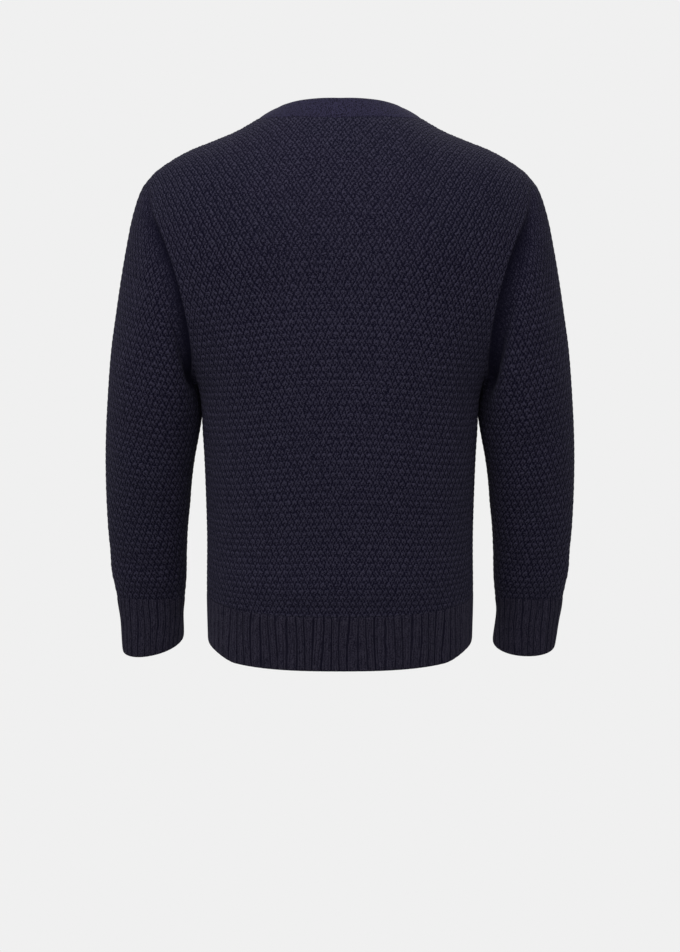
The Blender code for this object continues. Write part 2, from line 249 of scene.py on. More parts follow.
def torso_point(x, level, side):
    """Outer skin of the body at a distance from the middle and a level; side 1 back, -1 front."""
    x, level = np.broadcast_arrays(np.asarray(x, float), np.asarray(level, float))
    height = np.minimum(level, full_chest)
    half = smooth(torso_table, 1, height, True)
    depth = smooth(torso_table, 2 if side > 0 else 3, height, True)
    power = smooth(torso_table, 4, height, True)
    y = depth * np.maximum(0.0, 1 - np.minimum(1.0, np.abs(x) / half) ** power) ** (1 / power)
    rise, left = dome(level)
    top = smooth(shoulder_table, 1, np.abs(x), True)
    z = np.where(level <= full_chest, level, full_chest + (top - full_chest) * rise)
    y = np.where(level <= full_chest, y, y * left)
    return np.stack((x, side * y, z), axis=-1)


def torso_normal(x, level, side):
    """Outward direction of that skin."""
    step = 2e-5
    across = torso_point(x + step, level, side) - torso_point(x - step, level, side)
    along = torso_point(x, level + step, side) - torso_point(x, level - step, side)
    return unit(np.cross(across, along)) * -side


def side_x(level):
    """Where a row of the body ends: the side seam, then the armhole seam."""
    level = np.asarray(level, float)
    x = np.full(level.shape, shoulder_half)
    rise = dome(level)[0]
    for _ in range(settling):
        top = smooth(shoulder_table, 1, x, True)
        x = smooth(armhole_table, 1, full_chest + (top - full_chest) * rise)
    x = np.where(level <= full_chest, smooth(armhole_table, 1, level), x)
    return np.where(level <= underarm, smooth(torso_table, 1, level, True), x)


def front_x(level):
    """Where a row of a front starts: the closing edge, then the V neck."""
    level = np.asarray(level, float)
    x = np.full(level.shape, neck_half)
    rise = dome(level)[0]
    for _ in range(settling):
        top = smooth(shoulder_table, 1, x, True)
        height = np.where(level > full_chest, full_chest + (top - full_chest) * rise, level)
        part = np.clip((height - v_point) / (v_top - v_point), 0.0, 1.0)
        x = edge_half + (neck_half - edge_half) * part ** v_power
    return x


def inside_neck(x):
    """How far a place is inside the back neck: 1 at its middle, 0 at its ends."""
    return np.clip(1 - np.minimum(np.abs(x) / neck_half, 1.0) ** neck_power, 0.0, 1.0) ** 0.5


def neck_level(x, level):
    """Levels of the back, squeezed under the back neck seam."""
    left = 1 - (1 - neck_cut) * inside_neck(x)
    return np.where(level <= full_chest, level, full_chest + (level - full_chest) * left)


def run_along(points, axis):
    """Running length of lines of points."""
    steps = np.linalg.norm(np.diff(points, axis=axis), axis=-1)
    start = np.zeros_like(np.take(steps, [0], axis=axis))
    return np.concatenate((start, np.cumsum(steps, axis=axis)), axis=axis)


def between_rows(grid, row, column):
    """A value from a grid at places between its rows and columns."""
    row = np.clip(row, 0.0, grid.shape[0] - 1.001)
    column = np.clip(column, 0.0, grid.shape[1] - 1.001)
    r = row.astype(int)
    c = column.astype(int)
    fr = (row - r).reshape(row.shape + (1,) * (grid.ndim - 2))
    fc = (column - c).reshape(fr.shape)
    near = grid[r, c] * (1 - fc) + grid[r, c + 1] * fc
    far = grid[r + 1, c] * (1 - fc) + grid[r + 1, c + 1] * fc
    return near * (1 - fr) + far * fr


def row_by_row(row, at, known, wanted):
    """What stands at places along rows, read from each row's own line of known places."""
    out = np.zeros(at.shape)
    for r in np.unique(row):
        mine = row == r
        out[mine] = np.interp(at[mine], known[r], wanted[r])
    return out


def soft_form(forms, points):
    """How far soft bulges and troughs stand out at points; nothing at the hem or armhole seam."""
    total = np.zeros(len(points))
    x = points[:, 0]
    z = points[:, 2]
    for middle, height, across, up, out in forms:
        total += out * np.exp(-((x - middle) / across) ** 2 - ((z - height) / up) ** 2)
    seam = smooth(armhole_table, 1, z)
    calm = ease(hem_seam, hem_seam + hem_calm, z) * ease(seam, seam - seam_calm, np.abs(x))
    return total * calm


# lines of points in every row of stitches
grid_rows = 4


class Panel:
    """A panel of the body as knitted rows; a place in it is a row and a count of stitches."""

    # rows are counted up this line; lengths are measured on a grid and read from it
    count_line = 0.115
    levels = 260
    around_steps = 160
    climb_steps = 80
    climb_reach = 0.25
    climb_samples = 3000
    row_samples = 300
    # the last row lies a hair under the top
    top_gap = 2e-6

    def __init__(self, side, yoke_pitch, forms):
        self.side = side
        self.yoke_pitch = yoke_pitch
        self.forms = forms
        top = top_level - self.top_gap
        fine = np.linspace(hem_seam, top, self.climb_samples)
        climb = run_along(torso_point(np.full(fine.shape, self.count_line), fine, 1), 0)
        self.count = grid_rows * round(climb[-1] / row_height) + 1
        self.level = np.interp(np.linspace(0.0, climb[-1], self.count), climb, fine)
        self.grid_level = np.linspace(hem_seam, top, self.levels)
        levels = self.grid_level[:, None]
        half = smooth(torso_table, 1, np.minimum(levels, full_chest), True)
        turn = np.linspace(0.0, math.pi / 2, self.around_steps)[None, :]
        self.around = run_along(torso_point(half * np.sin(turn) ** (1 / spread), levels, side), 1)
        column = np.linspace(0.0, self.climb_reach, self.climb_steps)[None, :]
        own = run_along(torso_point(column, levels, side), 0)
        shared = run_along(torso_point(self.count_line + 0 * column, levels, side), 0)
        own = np.diff(own, axis=0, prepend=own[:1])
        shared = np.diff(shared, axis=0, prepend=shared[:1])
        # up to the full chest all columns climb alike, above it each climbs its own way
        blend = ease(full_chest - 0.01, full_chest + 0.03, levels)
        flattened = yoke_flattening * ease(full_chest, full_chest + flattening_reach, levels)
        low = row_height * (1 - flattened)
        self.upward = np.cumsum((shared * (1 - blend) + own * blend) / low, axis=0)
        self.end = side_x(self.level)
        start = np.zeros(self.count)
        if side < 0:
            start = np.arcsin((front_x(self.level) / self.end) ** spread)
        share = np.linspace(0.0, 1.0, self.row_samples)[None, :]
        self.angle = start[:, None] + (math.pi / 2 - start)[:, None] * share
        x, level = self.flat_place(self.angle, np.arange(self.count)[:, None])
        self.u = self.stitch(x, level)[0]
        self.highs = self.u[:, -1]
        self.lows = self.u[:, 0] if side < 0 else -self.highs

    def flat_place(self, angle, row):
        """Distance from the middle and level of a place in a row."""
        x = self.end[row] * np.sin(angle) ** (1 / spread)
        level = self.level[row] + 0.0 * x
        return (x, neck_level(x, level)) if self.side > 0 else (x, level)

    def stitch(self, x, level):
        """Stitches from the middle and rows from the hem; rows hang lower towards the sides."""
        half = smooth(torso_table, 1, np.minimum(level, full_chest), True)
        step = self.grid_level[1] - self.grid_level[0]
        at = (level - self.grid_level[0]) / step
        turn = np.arcsin(np.clip(np.abs(x) / half, 0.0, 1.0) ** spread)
        run = between_rows(self.around, at, turn / (math.pi / 2) * (self.around_steps - 1))
        climb = between_rows(self.upward, at, np.abs(x) / self.climb_reach * (self.climb_steps - 1))
        height = torso_point(x, level, self.side)[..., 2]
        climb = climb + smooth(hang_table, 1, height) * x ** 2 / row_height
        pitch = hem_pitch + (self.yoke_pitch - hem_pitch) * ease(*yoke, height)
        return run * (1 + side_crowding * run ** 2) / pitch, climb

    def spot(self, row, u):
        """Points, outward directions, place in the knit and painted crease shade at places in rows."""
        x, level = self.flat_place(row_by_row(row, np.abs(u), self.u, self.angle), row)
        v = self.stitch(x, level)[1]
        x = x * np.sign(u)
        points = torso_point(x, level, self.side)
        normals = torso_normal(x, level, self.side)
        return points + normals * soft_form(self.forms, points)[:, None], normals, u, v, 0 * v


def mark(mesh, label, kind, field, values):
    """Keep a value of every point of a mesh under a name."""
    layer = mesh.attributes.new(label, kind, "POINT")
    layer.data.foreach_set(field, np.asarray(values).astype(np.float32).ravel())


def knitted_wall(name, lows, highs, spot, fine, row_skip, closed, thickness, fade_reach):
    """A closed wall of cloth: a grid in step with its stitches outside, a coarser one inside.

    Each row has fine points to a repeat of the knit, and the inner side takes one row in row_skip.
    The stitches stand lower within fade_reach rows of an edge, and there is no relief inside.
    """
    rows = list(range(len(lows)))
    inner_rows = rows[::row_skip]
    # the least part of a step between a row's end and its first point
    clear = 0.35
    edge_lift = 0.25

    def ladder(chosen, skip, first):
        """Rows of numbered points, in step with each other between their ends."""
        out = []
        for r in chosen:
            low = math.ceil((lows[r] * fine) / skip + clear) * skip
            high = math.floor((highs[r] * fine) / skip - clear) * skip
            marks = np.arange(low, high + 1, skip)
            ends = [[], [highs[r]]] if closed else [[lows[r]], [highs[r]]]
            u = np.concatenate((ends[0], marks / fine, ends[1]))
            ids = first + np.arange(len(u))
            first += len(u)
            if closed:
                ids = np.concatenate((ids[-1:], ids))
            out.append((r, marks, ids, u))
        return out, first

    outer, total = ladder(rows, 1, 0)
    inner, _ = ladder(inner_rows, fine, total)
    row = np.concatenate([np.full(len(part[3]), part[0]) for part in outer + inner])
    u = np.concatenate([part[3] for part in outer + inner])
    points, normals, stitch_u, v, hollow = spot(row, u)
    points[total:] -= normals[total:] * thickness
    edge = np.minimum(row, len(rows) - 1 - row) / row_skip
    if not closed:
        edge = np.minimum(edge, np.minimum(u - np.asarray(lows)[row], np.asarray(highs)[row] - u))
    lift = (edge_lift + (1 - edge_lift) * ease(0.0, fade_reach, edge)) * (1 - hollow)
    lift[total:] = 0.0

    def between(parts, skip):
        """Four-sided faces between rows, and one face of more sides at each end of a row."""
        quads = []
        fills = []
        for (_, ma, ia, _), (_, mb, ib, _) in zip(parts, parts[1:]):
            k0 = max(ma[0], mb[0])
            k1 = min(ma[-1], mb[-1])
            a0 = 1 + (k0 - ma[0]) // skip
            a1 = 1 + (k1 - ma[0]) // skip
            b0 = 1 + (k0 - mb[0]) // skip
            b1 = 1 + (k1 - mb[0]) // skip
            a = ia[a0:a1 + 1]
            b = ib[b0:b1 + 1]
            quads.append(np.stack((a[:-1], a[1:], b[1:], b[:-1]), -1))
            fills.append(list(ia[:a0 + 1]) + list(ib[:b0 + 1][::-1]))
            fills.append(list(ia[a1:]) + list(ib[b1:][::-1]))
        return np.concatenate(quads), fills

    quads, fills = between(outer, 1)
    deep_quads, deep_fills = between(inner, fine)
    faces = quads.tolist() + fills
    faces += deep_quads[:, ::-1].tolist() + [f[::-1] for f in deep_fills]
    skin_faces = len(faces)
    # the edges along the first and last rows, then the two side edges
    for at, turn in ((0, -1), (-1, 1)):
        _, marks, ids, _ = outer[at]
        _, deep_marks, deep_ids, _ = inner[at]
        stops = [0] + [1 + int(k - marks[0]) for k in deep_marks] + [len(ids) - 1]
        for k in range(len(stops) - 1):
            rim = list(ids[stops[k]:stops[k + 1] + 1]) + [deep_ids[k + 1], deep_ids[k]]
            faces.append(rim[::turn])
    if not closed:
        for at, turn in ((0, 1), (-1, -1)):
            for k in range(len(inner) - 1):
                rim = [part[2][at] for part in outer[inner_rows[k]:inner_rows[k + 1] + 1]]
                rim += [inner[k + 1][2][at], inner[k][2][at]]
                faces.append(rim[::turn])
    # one face in the middle tells which way round all of them are
    some = quads[len(quads) // 2]
    a, b, c = (points[some[j]] for j in (0, 1, 3))
    if np.dot(np.cross(b - a, c - a), normals[some[0]]) < 0:
        faces = [face[::-1] for face in faces]
    mesh = bpy.data.meshes.new(name)
    mesh.from_pydata(points.tolist(), [], faces)
    flags = np.zeros(len(faces), bool)
    flags[:skin_faces] = True
    mesh.polygons.foreach_set("use_smooth", flags)
    corner = np.zeros(len(mesh.loops), np.int32)
    mesh.loops.foreach_get("vertex_index", corner)
    spots = np.stack((stitch_u, v), -1)[corner]
    # a closed row ends where it starts, so faces on the far side of its seam take the low end's place
    if closed:
        seam = np.zeros(len(u), bool)
        seam[[part[2][0] for part in outer + inner]] = True
        sizes = np.zeros(len(faces), np.int32)
        mesh.polygons.foreach_get("loop_total", sizes)
        owner = np.repeat(np.arange(len(faces)), sizes)
        lean = np.bincount(owner, np.where(seam[corner], 0.0, u[corner]), len(faces))
        turned = seam[corner] & (lean[owner] < 0)
        other = spot(row[corner[turned]], np.asarray(lows)[row[corner[turned]]])
        spots[turned] = np.stack(other[2:4], -1)
    layer = mesh.uv_layers.new(name="stitches")
    layer.data.foreach_set("uv", spots.astype(np.float32).ravel())
    mark(mesh, "way", "FLOAT_VECTOR", "vector", normals * lift[:, None])
    mark(mesh, "place", "FLOAT_VECTOR", "vector", np.stack((stitch_u, v, 0 * u), -1))
    # how much painted shade darkens the yarn in a crease
    mark(mesh, "hollow", "FLOAT", "value", hollow)
    thing = bpy.data.objects.new(name, mesh)
    bpy.context.scene.collection.objects.link(thing)
    return thing


class Reading:
    """A value that changes over a piece; arithmetic on it adds nodes to its tree."""

    def __init__(self, bench, socket):
        self.bench = bench
        self.socket = socket

    def to(self, kind, *values):
        return self.bench.math(kind, self, *values)

    def __add__(self, other):
        return self.to("ADD", other)

    def __sub__(self, other):
        return self.to("SUBTRACT", other)

    def __rsub__(self, other):
        return self.bench.math("SUBTRACT", other, self)

    def __mul__(self, other):
        return self.to("MULTIPLY", other)

    def __truediv__(self, other):
        return self.to("DIVIDE", other)

    def __abs__(self):
        return self.to("ABSOLUTE")


class Bench:
    """Short ways to lay out and wire the nodes of one tree."""

    def __init__(self, tree):
        self.tree = tree

    def put(self, value, socket):
        """Wire a reading into a socket, or set a plain value on it."""
        if isinstance(value, Reading):
            self.tree.links.new(value.socket, socket)
        else:
            socket.default_value = value

    def node(self, kind, wires, **settings):
        node = self.tree.nodes.new(kind)
        for key, value in settings.items():
            setattr(node, key, value)
        for label, value in wires.items():
            self.put(value, node.inputs[label])
        return node

    def read(self, output, kind, wires, **settings):
        """A reading of one output of a new node."""
        return Reading(self, self.node(kind, wires, **settings).outputs[output])

    def math(self, kind, *values, clamp=False):
        wires = dict(enumerate(values))
        return self.read(0, "ShaderNodeMath", wires, operation=kind, use_clamp=clamp)

    def split(self, vector):
        parts = self.node("ShaderNodeSeparateXYZ", {0: vector})
        return [Reading(self, socket) for socket in parts.outputs]

    def joined(self, x, y):
        return self.read(0, "ShaderNodeCombineXYZ", {0: x, 1: y})

    def attribute(self, label, kind="FLOAT_VECTOR"):
        """What a mesh keeps under a name, in a tree that works on meshes."""
        wires = {"Name": label}
        return self.read("Attribute", "GeometryNodeInputNamedAttribute", wires, data_type=kind)

    def painted(self, geometry, paint, chosen=True):
        wires = {"Geometry": geometry, "Selection": chosen, "Material": paint}
        return self.read(0, "GeometryNodeSetMaterial", wires)


def new_tree(name, inputs):
    """An empty node tree with named inputs: its bench and a reading of each input."""
    tree = bpy.data.node_groups.new(name, "GeometryNodeTree")
    for label, kind in (("Geometry", "Geometry"), *inputs):
        tree.interface.new_socket(label, in_out="INPUT", socket_type=f"NodeSocket{kind}")
    tree.interface.new_socket("Geometry", in_out="OUTPUT", socket_type="NodeSocketGeometry")
    bench = Bench(tree)
    start = bench.node("NodeGroupInput", {})
    return bench, {label: Reading(bench, start.outputs[label]) for label in ("Geometry", *dict(inputs))}


def relief_tree(name, profile):
    """A node tree that raises every outer point by a stitch profile of its place in the knit."""
    bench, given = new_tree(name, (("Relief", "Float"), ("Yarn", "Material")))
    u, v, _ = bench.split(bench.attribute("place"))
    rise = {0: bench.attribute("way"), "Scale": profile(u, v) * given["Relief"]}
    offset = bench.read(0, "ShaderNodeVectorMath", rise, operation="SCALE")
    wires = {"Geometry": given["Geometry"], "Offset": offset}
    moved = bench.read(0, "GeometryNodeSetPosition", wires)
    real = bench.read(0, "GeometryNodeRealizeInstances", {"Geometry": moved})
    bench.node("NodeGroupOutput", {"Geometry": bench.painted(real, given["Yarn"])})
    return bench.tree


def worked(thing, tree, given):
    """Put a piece through a node tree and keep the result as its plain mesh."""
    modifier = thing.modifiers.new(tree.name, "NODES")
    modifier.node_group = tree
    for item in tree.interface.items_tree:
        if item.in_out == "INPUT" and item.name in given:
            modifier[item.identifier] = given[item.name]
    seen = thing.evaluated_get(bpy.context.evaluated_depsgraph_get())
    mesh = bpy.data.meshes.new_from_object(seen)
    thing.modifiers.remove(modifier)
    old = thing.data
    thing.data = mesh
    bpy.data.meshes.remove(old)
    mesh.name = thing.name


def knit(thing, tree, relief, yarn):
    """Raise the stitches of a piece."""
    worked(thing, tree, {"Relief": relief, "Yarn": yarn})
    for label in ("way", "place"):
        thing.data.attributes.remove(thing.data.attributes[label])


def tuck_profile(u, v):
    """Bumps in rows, every other row half a bump aside, fullest a little above their middle."""
    across = (u * (2 * math.pi)).to("COSINE")
    up = ((v - 0.58) * math.pi).to("COSINE")
    return across * up * 0.5


tuck_relief = relief_tree("tuck_relief", tuck_profile)


class Paint(Bench):
    """One material and the patterns that it is painted with."""

    def __init__(self, name):
        self.made = bpy.data.materials.new(name)
        self.made.use_nodes = True
        super().__init__(self.made.node_tree)
        self.place = self.read("Object", "ShaderNodeTexCoord", {})

    def coat(self, wires):
        """Wire or set the shader's own sockets."""
        shader = self.tree.nodes["Principled BSDF"]
        for label, value in wires.items():
            self.put(value, shader.inputs[label])
        return self.made

    def ramp(self, value, low, high, start=0.0, stop=1.0):
        wires = {"Value": value, "From Min": low, "From Max": high, "To Min": start, "To Max": stop}
        return self.read("Result", "ShaderNodeMapRange", wires, interpolation_type="SMOOTHSTEP")

    def noise(self, scale, detail=2.0, roughness=0.6, output="Fac", at=None):
        wires = {"Vector": at or self.place, "Scale": scale, "Detail": detail, "Roughness": roughness}
        return self.read(output, "ShaderNodeTexNoise", wires)

    def mix(self, share, first, second):
        """Two colours mixed; sockets 6 and 7 of the node are its colours and output 2 the result."""
        return self.read(2, "ShaderNodeMix", {0: share, 6: first, 7: second}, data_type="RGBA")

    def bump(self, height, distance, strength=1.0, **below):
        wires = {"Distance": distance, "Strength": strength, "Height": height, **below}
        return self.read("Normal", "ShaderNodeBump", wires)

    def stitches(self, sway, row_sway):
        """The piece's own knit map, with stitches a little out of true."""
        uv = self.read("UV", "ShaderNodeUVMap", {}, uv_map="stitches")
        wires = {0: self.noise(90.0, 1.0, 0.5, "Color"), 1: (sway, row_sway, 0.0), 2: uv}
        drift = self.read(0, "ShaderNodeVectorMath", wires, operation="MULTIPLY_ADD")
        u, v, _ = self.split(drift)
        return u - sway / 2, v - row_sway / 2


def yarn_paint(name, stitch, dark, light, uneven, stitch_depth):
    """Matt navy yarn: painted shade in the gaps, painted light on the crests, plies, loose fibres, uneven
    dye, painted shade in creases and a soft nap.
    """
    p = Paint(name)
    crest = stitch(p)
    ply = p.noise(820.0, 1.5, 0.60)
    hair = p.noise(1500.0, 2.0, 0.7)
    patch = p.noise(70.0, 2.0, 0.6)
    tone = ((ply - 0.5) * uneven + 0.90) * p.ramp(patch, 0.25, 0.75, 0.93, 1.07)
    # painted shade: in the creases beside the armholes the yarn is painted darker and its stitches more even
    hollow = p.read("Fac", "ShaderNodeAttribute", {}, attribute_name="hollow")
    tone = tone.to("MAXIMUM", 0.0) * (1.0 - hollow)
    crest = (0.45 - crest) * hollow + crest
    shade = p.math("MULTIPLY", crest, tone, clamp=True)
    fine = p.bump(hair * 0.4 + ply, 0.0005, 0.7)
    return p.coat({
        "Base Color": p.mix(shade, (*dark, 1.0), (*light, 1.0)),
        "Normal": p.bump(crest, stitch_depth, Normal=fine),
        "Roughness": 0.92,
        "Specular IOR Level": 0.045,
        "Sheen Weight": 0.020,
        "Sheen Roughness": 0.5,
        "Sheen Tint": (0.70, 0.68, 1.0, 1.0),
    })


def tuck_stitch(p):
    """A pointed bell of yarn to each stitch, an eye and a knot under it, with painted shade in the gaps
    beside them and painted light where the yarn stands out.
    """
    place_x, _, place_z = p.split(p.place)
    sideways = abs(place_x)
    # high is 0 at the waist and 1 in the yoke, where the stitches are plainer and crisper
    high = p.ramp(place_z, -0.26, -0.09)
    u, v = p.stitches(0.62, 0.34)
    row = v.to("FLOOR")
    aside = (row + 1000.0).to("MODULO", 2.0) * 0.5
    off = (u + aside + 1000.5).to("FRACT") - 0.5
    off_next = (u + aside + 1000.0).to("FRACT") - 0.5
    x = abs(off)
    x_next = abs(off_next)
    down = 0.98 - (v - row)

    def spot(across, middle, wide, depth, tall):
        """1 at the middle of a small oval, 0 at its rim."""
        a = (across - middle) / wide
        b = (down - depth) / tall
        return p.math("SUBTRACT", 1.0, a * a + b * b, clamp=True)

    # the bell, narrow at its tip and wide at its foot, on ground painted darker as shade
    half = (down * 0.42 + 0.05).to("MINIMUM", 0.36)
    bell = p.ramp(half - x, -0.09, 0.08) * p.ramp(down, 1.02, 0.84)
    ground = high * -0.12 + 0.34
    # how light the bell is painted from tip to foot, as light falls on it, with painted shade in an eye low
    # in its middle
    tip = high * 0.48 + 0.40
    level = p.ramp(down, 0.18, 0.50, 0.36, 1.12).to("MAXIMUM", tip)
    level = level * p.ramp(down, 0.62, 0.92, 1.0, 0.80)
    level = level - high * p.ramp(down, 0.46, 0.72, 0.0, 0.24)
    eye = high * -0.06 + 0.87
    level = level - spot(x, 0.0, 0.17, eye, 0.26) * 0.80
    # in the yoke the stitches lean towards the shoulders: light on the inner side, dark on the outer
    drawn = high * p.ramp(sideways, 0.02, 0.11) * p.ramp(sideways, 0.19, 0.25, 0.50, 0.0)
    hand = place_x.to("SIGN") * -1.0
    inward = off * hand
    half_inward = (inward * 7.0).to("MINIMUM", 1.0).to("MAXIMUM", -1.0)
    level = level * (half_inward * drawn + 1.0)
    # painted shade in the gaps: between the feet of the bells, beside each tip, and in the yoke on the inner
    # side
    crest = bell * (level - ground) + ground
    crest = crest - spot(x, 0.5, 0.12, 0.78, 0.34) * 0.60
    outside = (off_next * hand * -10.0).to("MINIMUM", 1.0).to("MAXIMUM", -1.0) * drawn
    speck = spot(x_next, 0.26, 0.14, 0.18, 0.25) * (outside * 1.3 + 1.0)
    crest = crest - speck * (high * 0.25 + 0.50)
    beside = (inward - (down * 0.426 + 0.17)) / 0.09
    groove = p.math("SUBTRACT", 1.0, beside * beside, clamp=True)
    crest = (crest - groove * drawn * 0.70).to("MAXIMUM", 0.0)
    # a knot where the yarn is caught under each bell, painted light as a highlight
    shine = high * 0.78 + 0.96
    for far, depth in ((x, 1.17), (x_next, 0.17)):
        knot = spot(far, 0.0, 0.16, depth, 0.27).to("SQRT")
        crest = crest.to("MAXIMUM", knot * shine)
    # no two stitches are equally light, and the painted light and shade stand out more at the sides than in
    # the middle
    each = p.joined((u + aside + 0.5).to("FLOOR"), row)
    chance = p.read("Value", "ShaderNodeTexWhiteNoise", {"Vector": each}, noise_dimensions="2D")
    crest = crest * (chance * 0.26 + 0.87)
    vivid = (high * -0.21 + 1.0) * p.ramp(sideways, 0.04, 0.17, 0.92, 1.20)
    return ((crest - 0.47) * vivid + 0.47).to("MAXIMUM", 0.0)


# the dark colour is the painted shade of the gaps and the light one the painted light on the crests; between
# them lies the yarn's own navy
tuck_dark = (0.0012, 0.0010, 0.0054)
tuck_light = (0.0212, 0.0194, 0.0336)
navy_tuck = yarn_paint("navy_tuck_knit", tuck_stitch, tuck_dark, tuck_light, 9.5, 0.0009)
tuck_depth = 0.0011
# points to a repeat of the tuck stitch, and rows from an edge in which it rises
tuck_fine = 5
tuck_fade = 0.6


def tailor(thing, node):
    """A finished piece stands for its plain node."""
    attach(thing, "root")
    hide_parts(node)


def tuck_knitted(name, node, lows, highs, spot, depth, closed=False):
    """A piece in tuck stitch, from its row ends to its fastening on the plain node."""
    piece = knitted_wall(name, lows, highs, spot, tuck_fine, grid_rows, closed, wall, tuck_fade)
    knit(piece, tuck_relief, depth, navy_tuck)
    tailor(piece, node)
    return piece


back_form = Panel(1, back_yoke_pitch, back_forms)
back = tuck_knitted("back_panel", "back", back_form.lows, back_form.highs, back_form.spot, tuck_depth)

front_form = Panel(-1, front_yoke_pitch, front_forms)
for name, lows, highs in (
    ("left", front_form.lows, front_form.highs),
    ("right", -front_form.highs, -front_form.lows),
):
    spot = front_form.spot
    piece = tuck_knitted(f"front_panel_{name}", f"front_{name}", lows, highs, spot, tuck_depth)

# --- sleeves ---------------------------------------------------------------------------------
# Each sleeve is one tube in the same tuck stitch, sewn into a dropped armhole and closed by one
# seam under the arm.  Its cloth is eased where it hangs full above the cuff.
ring_power = 2.1
cuff_seam = -0.637
sleeve_rings = 12.0
# ring, outer x, outer height, inner x, inner height, middle y, half depth, drop of the back
sleeve_table = (
    (0, 0.2360, -0.066, 0.1830, -0.330, 0.000, 0.080, 0.000),
    (1, 0.2495, -0.084, 0.1834, -0.337, 0.000, 0.079, 0.000),
    (2, 0.2610, -0.116, 0.1838, -0.346, 0.000, 0.078, 0.000),
    (3, 0.2700, -0.155, 0.1842, -0.358, 0.000, 0.076, 0.000),
    (4, 0.2780, -0.195, 0.1846, -0.371, 0.000, 0.074, 0.000),
    (5, 0.2860, -0.240, 0.1856, -0.386, -0.001, 0.071, 0.000),
    (6, 0.2940, -0.288, 0.1876, -0.405, -0.003, 0.067, 0.000),
    (7, 0.3005, -0.345, 0.1910, -0.430, -0.006, 0.062, 0.000),
    (8, 0.3055, -0.400, 0.1950, -0.460, -0.011, 0.056, 0.000),
    (9, 0.3085, -0.455, 0.1990, -0.500, -0.017, 0.050, 0.000),
    (10, 0.3095, -0.510, 0.2035, -0.540, -0.024, 0.043, 0.000),
    (11, 0.3080, -0.565, 0.2065, -0.585, -0.032, 0.036, -0.002),
    (12, 0.3025, cuff_seam, 0.2110, cuff_seam, -0.042, 0.030, -0.006),
)
# levels of the armhole seam at even stops, from the shoulder down to the armpit
arm_levels = (
    0.030, -0.030, -0.070, -0.105, -0.140, -0.180, -0.215, -0.250, -0.280, -0.305, -0.322, underarm
)


def ring_frame(table, at):
    """Middle, reach to the outer side and reach to the back of the rings of a sleeve or cuff."""
    zero = np.zeros(np.shape(at))
    outer = np.stack((smooth(table, 1, at), zero, smooth(table, 2, at)), -1)
    inner = np.stack((smooth(table, 3, at), zero, smooth(table, 4, at)), -1)
    depth = smooth(table, 6, at)
    drop = smooth(table, 7, at)
    middle = (outer + inner) / 2 + np.stack((zero, smooth(table, 5, at), zero), -1)
    back = np.stack((zero, np.sqrt(depth * depth - drop * drop), -drop), -1)
    return middle, (outer - inner) / 2, back


def swing(value, power):
    """A power that keeps the sign, to square up or round off a ring."""
    return np.sign(value) * np.abs(value) ** power


def ring_point(table, at, turn):
    """Left sleeve or cuff; turn 0 is the outer side and a quarter turn is the back."""
    middle, reach, back = ring_frame(table, at)
    out = swing(np.cos(turn), 2 / ring_power)[..., None]
    swell = swing(np.sin(turn), 2 / ring_power)[..., None]
    return middle + reach * out + back * swell


class Cloth:
    """Any other cloth as a fine grid of points: rows down, columns across, even rows for stitches."""

    def __init__(self, points, normals, v, middle, pitch):
        run = run_along(points, 1)
        self.points = points
        self.normals = normals
        self.u = (run - run[:, middle:middle + 1]) / pitch
        self.stitch_u = self.u
        self.v = v
        self.hollow = np.zeros(v.shape)
        self.lows = self.u[:, 0]
        self.highs = self.u[:, -1]

    def spot(self, row, u):
        """Points, outward directions, place in the knit and painted crease shade at places in rows."""
        steps = np.broadcast_to(np.arange(self.u.shape[1]), self.u.shape)
        at = row_by_row(row, u, self.u, steps)
        grids = (self.points, self.normals, self.stitch_u, self.v, self.hollow)
        points, normals, *rest = [between_rows(grid, row, at) for grid in grids]
        return points, unit(normals), *rest


def tube_normals(points, level_ends=False):
    """Outward directions of a tube of rings, smooth over its seam with level ends."""
    along = np.gradient(points, axis=0)
    around = np.gradient(points, axis=1)
    if level_ends:
        around[:, 0] = around[:, -1] = (points[:, 1] - points[:, -2]) / 2
    normals = unit(np.cross(along, around))
    away = points - points.mean(axis=1, keepdims=True)
    return normals * np.sign((normals * away).sum())


def tube(points, count, pitch, row_step, hollow):
    """A closed ring of columns as cloth, laid open along its last column, rows evenly apart."""
    normals = tube_normals(points, True)
    down = run_along(points, 0)
    v = (down[-1:] - down) / row_step
    middle = points.shape[1] // 2
    at = np.interp(np.linspace(0.0, down[-1, middle], count), down[:, middle], np.arange(len(points)))
    at = at[:, None] + np.zeros(points.shape[1])
    column = np.arange(points.shape[1]) + 0.0 * at
    made = Cloth(between_rows(points, at, column), unit(between_rows(normals, at, column)),
                 between_rows(v, at, column), middle, pitch)
    made.hollow = between_rows(hollow, at, column)
    return made


def on_side(spot, hand):
    """The same places on the left or the mirrored right."""
    flip = np.array((hand, 1.0, 1.0))

    def mirrored(row, u):
        points, normals, *rest = spot(row, u)
        return points * flip, normals * flip, *rest
    return mirrored


# columns run from the seam under the arm up the front, over the shoulder and down the back
columns = 721
sleeve_lines = 361
armpit = len(arm_levels) - 1.0
share = np.linspace(-armpit, armpit, columns)
arm_level = np.interp(np.abs(share), np.arange(armpit + 1), arm_levels)
arm_x = side_x(arm_level)
on_back = torso_point(arm_x, arm_level, 1)
on_front = torso_point(arm_x, arm_level, -1)
armhole = np.where((share >= 0.0)[:, None], on_back, on_front)
middle, reach, back_way = ring_frame(sleeve_table, 0.0)
out = swing(((armhole - middle) * reach).sum(-1) / (reach * reach).sum(), ring_power / 2)
swell = swing((armhole[:, 1] - middle[1]) / back_way[1], ring_power / 2)
arm_turn = np.unwrap(np.arctan2(swell, out))
even_turn = np.linspace(-math.pi, math.pi, columns)
arm_turn += 2 * math.pi * np.round((even_turn - arm_turn)[columns // 2] / (2 * math.pi))
depth_in = np.linspace(0.0, sleeve_rings, sleeve_lines)[:, None]
